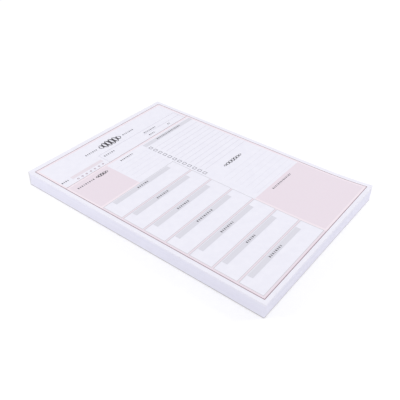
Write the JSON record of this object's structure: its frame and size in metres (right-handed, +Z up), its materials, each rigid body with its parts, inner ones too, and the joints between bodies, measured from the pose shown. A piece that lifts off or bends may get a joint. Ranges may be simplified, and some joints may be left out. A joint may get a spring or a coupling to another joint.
{
  "type": "weekly planner pad",
  "caption": "Glued pad of tear-off planner sheets on a stiff grey board, with day boxes, a check list, a ruled list and tinted note panels, and its free end curled up slightly.",
  "frame": {"origin": "centre of the pad's footprint on the table, at the underside of the backing board", "axes": "+X across the page to the right, +Y up the page to its glued top edge, +Z up out of the printed page"},
  "size_m": [0.1484, 0.2106, 0.0139],
  "materials": {
    "paper": "matt uncoated writing paper",
    "grey_board": "matt recycled grey board",
    "padding_glue": "dried white padding glue, slightly waxy",
    "ink_dusty_pink": "matt offset ink",
    "ink_gutter_tint": "matt offset ink",
    "ink_outline_grey": "matt offset ink",
    "ink_panel_pink": "matt offset ink",
    "ink_band_grey": "matt offset ink",
    "ink_date_bar": "matt offset ink",
    "ink_line_grey": "matt offset ink",
    "ink_faint_grey": "matt offset ink",
    "ink_mid_grey": "matt offset ink",
    "ink_dark_grey": "matt offset ink"
  },
  "bodies": {
    "root": {"sheets": "paper", "backing_board": "grey_board", "edge_glue": "padding_glue", "border_line": "ink_dusty_pink", "gutter_tint": "ink_gutter_tint", "box_outlines": "ink_outline_grey", "pink_panels": "ink_panel_pink", "grey_bands": "ink_band_grey", "date_bar": "ink_date_bar", "field_box": "ink_line_grey", "weekday_rings": "ink_mid_grey", "tick_boxes": "ink_mid_grey", "check_lines": "ink_line_grey", "ruled_lines": "ink_faint_grey", "captions": "ink_dark_grey", "title_ornament": "ink_dark_grey", "heading_ornaments": "ink_dark_grey"}
  },
  "joints": []
}
